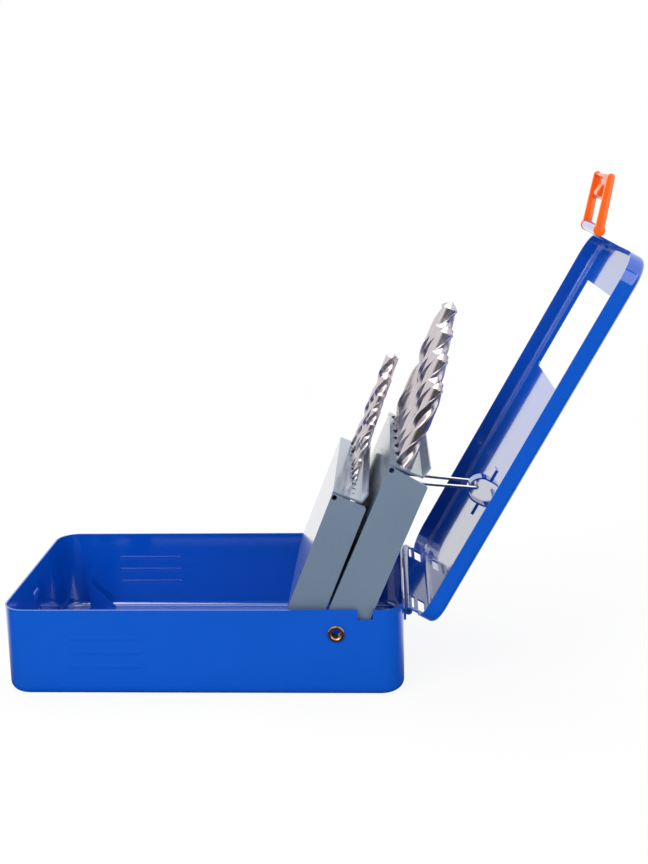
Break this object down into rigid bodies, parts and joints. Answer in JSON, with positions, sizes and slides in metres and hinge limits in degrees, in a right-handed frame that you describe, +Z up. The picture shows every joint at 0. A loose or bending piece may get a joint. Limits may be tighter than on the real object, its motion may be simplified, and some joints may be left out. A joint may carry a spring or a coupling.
{
  "type": "drill bit case",
  "caption": "Folding sheet steel drill bit case whose hinged lid lifts two racks of twist drills by a wire link, with a swinging plastic latch.",
  "frame": {"origin": "middle of the tray's underside", "axes": "+X along the lid hinge towards the smallest drills, +Y from the latch side towards the hinge, +Z up"},
  "size_m": [0.104, 0.2622, 0.2104],
  "materials": {
    "tray": "gloss blue enamel on steel sheet",
    "rack": "blue-grey hammered enamel on steel sheet",
    "wire": "bright drawn steel wire",
    "eyelet": "bright tubular rivet",
    "latch": "glossy orange moulding",
    "drill": "bright ground steel"
  },
  "bodies": {
    "tray": {"base_tray": "tray", "rest_tab_left": "tray", "rest_tab_right": "tray", "hinge_pin": "wire", "eyelet_left": "eyelet", "eyelet_right": "eyelet"},
    "lid": {"lid_shell": "tray", "link_saddle": "tray"},
    "rear_drill_rack": {"rear_rack": "rack", "drill_07_0": "drill", "drill_07_5": "drill", "drill_08_0": "drill", "drill_08_5": "drill", "drill_09_0": "drill", "drill_09_5": "drill", "drill_10_0": "drill"},
    "front_drill_rack": {"front_rack": "rack", "drill_01_0": "drill", "drill_01_5": "drill", "drill_02_0": "drill", "drill_02_5": "drill", "drill_03_0": "drill", "drill_03_5": "drill", "drill_04_0": "drill", "drill_04_5": "drill", "drill_05_0": "drill", "drill_05_5": "drill", "drill_06_0": "drill", "drill_06_5": "drill"},
    "link": {"wire_link": "wire"},
    "latch": {"latch": "latch"}
  },
  "joints": [
    {"name": "lid_hinge", "type": "hinge", "parent": "tray", "child": "lid", "pos_m": [0, 0.08595, 0.0338], "axis": [1, 0, 0], "range_deg": [0, 118.8]},
    {"name": "rear_rack_pivot", "type": "hinge", "parent": "tray", "child": "rear_drill_rack", "pos_m": [0, 0.056, 0.0278], "axis": [1, 0, 0], "range_deg": [0, 111.9]},
    {"name": "front_rack_pivot", "type": "hinge", "parent": "tray", "child": "front_drill_rack", "pos_m": [0, 0.056, 0.0278], "axis": [1, 0, 0], "range_deg": [0, 111.65]},
    {"name": "link_pivot", "type": "hinge", "parent": "rear_drill_rack", "child": "link", "pos_m": [0, 0.07346, 0.08121], "axis": [1, 0, 0], "range_deg": [-79.9, 0]},
    {"name": "latch_hinge", "type": "hinge", "parent": "lid", "child": "latch", "pos_m": [0, 0.16387, 0.18799], "axis": [1, 0, 0], "range_deg": [-50, 72]}
  ],
  "couplings": [
    {"joint": "rear_rack_pivot", "follows": "lid_hinge", "ratio": 0.9415},
    {"joint": "front_rack_pivot", "follows": "lid_hinge", "ratio": 0.93939},
    {"joint": "link_pivot", "follows": "lid_hinge", "ratio": -0.67171}
  ]
}
